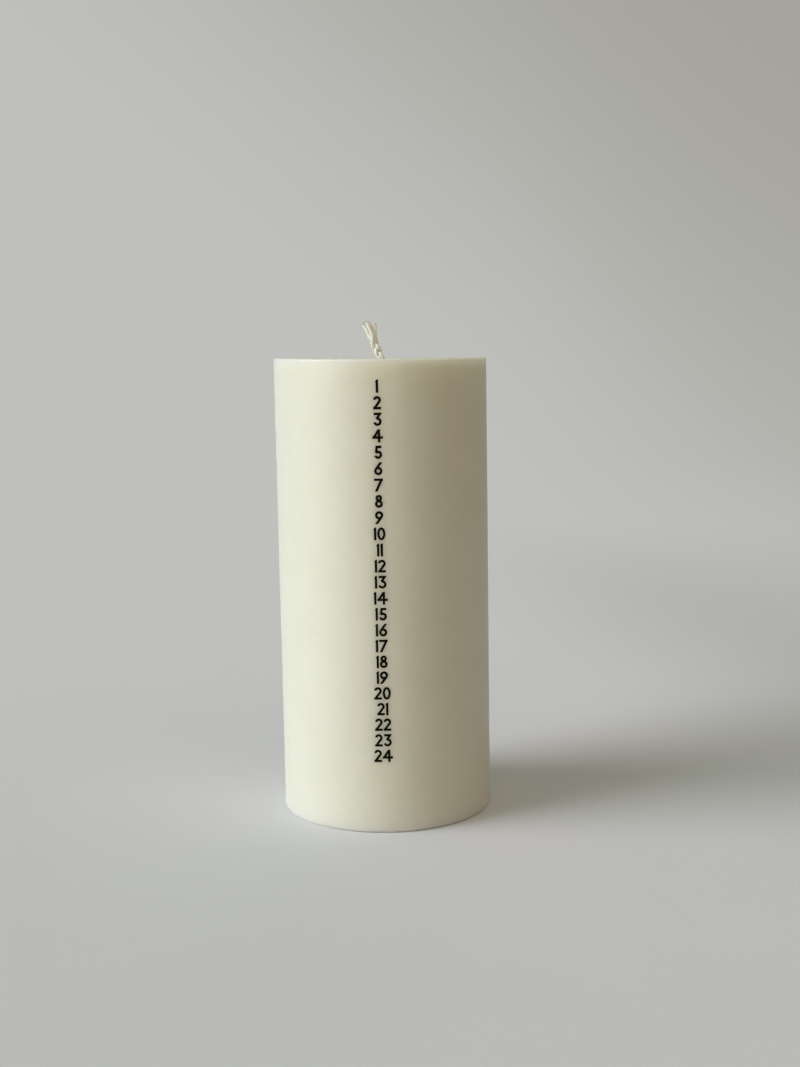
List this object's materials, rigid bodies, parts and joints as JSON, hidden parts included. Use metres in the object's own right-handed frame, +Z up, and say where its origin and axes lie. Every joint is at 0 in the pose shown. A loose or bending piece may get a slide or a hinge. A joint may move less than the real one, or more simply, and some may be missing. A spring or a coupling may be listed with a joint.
{
  "type": "calendar candle",
  "caption": "Ivory wax pillar candle with a plaited cotton wick and a column of small black day numbers down its front.",
  "frame": {"origin": "centre of the foot, on the surface that the candle stands on", "axes": "+Z up the candle's axis; the column of numbers faces -Y; the wick leans towards -X"},
  "size_m": [0.07, 0.0701, 0.1625],
  "materials": {
    "wax": "ivory wax, satin, lets light in below its surface",
    "cotton": "plaited cotton with a thin coat of wax",
    "tinplate": "bright tinplate",
    "ink": "black ink, satin"
  },
  "bodies": {
    "root": {"wax_pillar": "wax", "wick_tab": "tinplate", "wick_strand_right": "cotton", "wick_strand_left": "cotton", "wick_strand_middle": "cotton", "number_01": "ink", "number_02": "ink", "number_03": "ink", "number_04": "ink", "number_05": "ink", "number_06": "ink", "number_07": "ink", "number_08": "ink", "number_09": "ink", "number_10": "ink", "number_11": "ink", "number_12": "ink", "number_13": "ink", "number_14": "ink", "number_15": "ink", "number_16": "ink", "number_17": "ink", "number_18": "ink", "number_19": "ink", "number_20": "ink", "number_21": "ink", "number_22": "ink", "number_23": "ink", "number_24": "ink"}
  },
  "joints": []
}
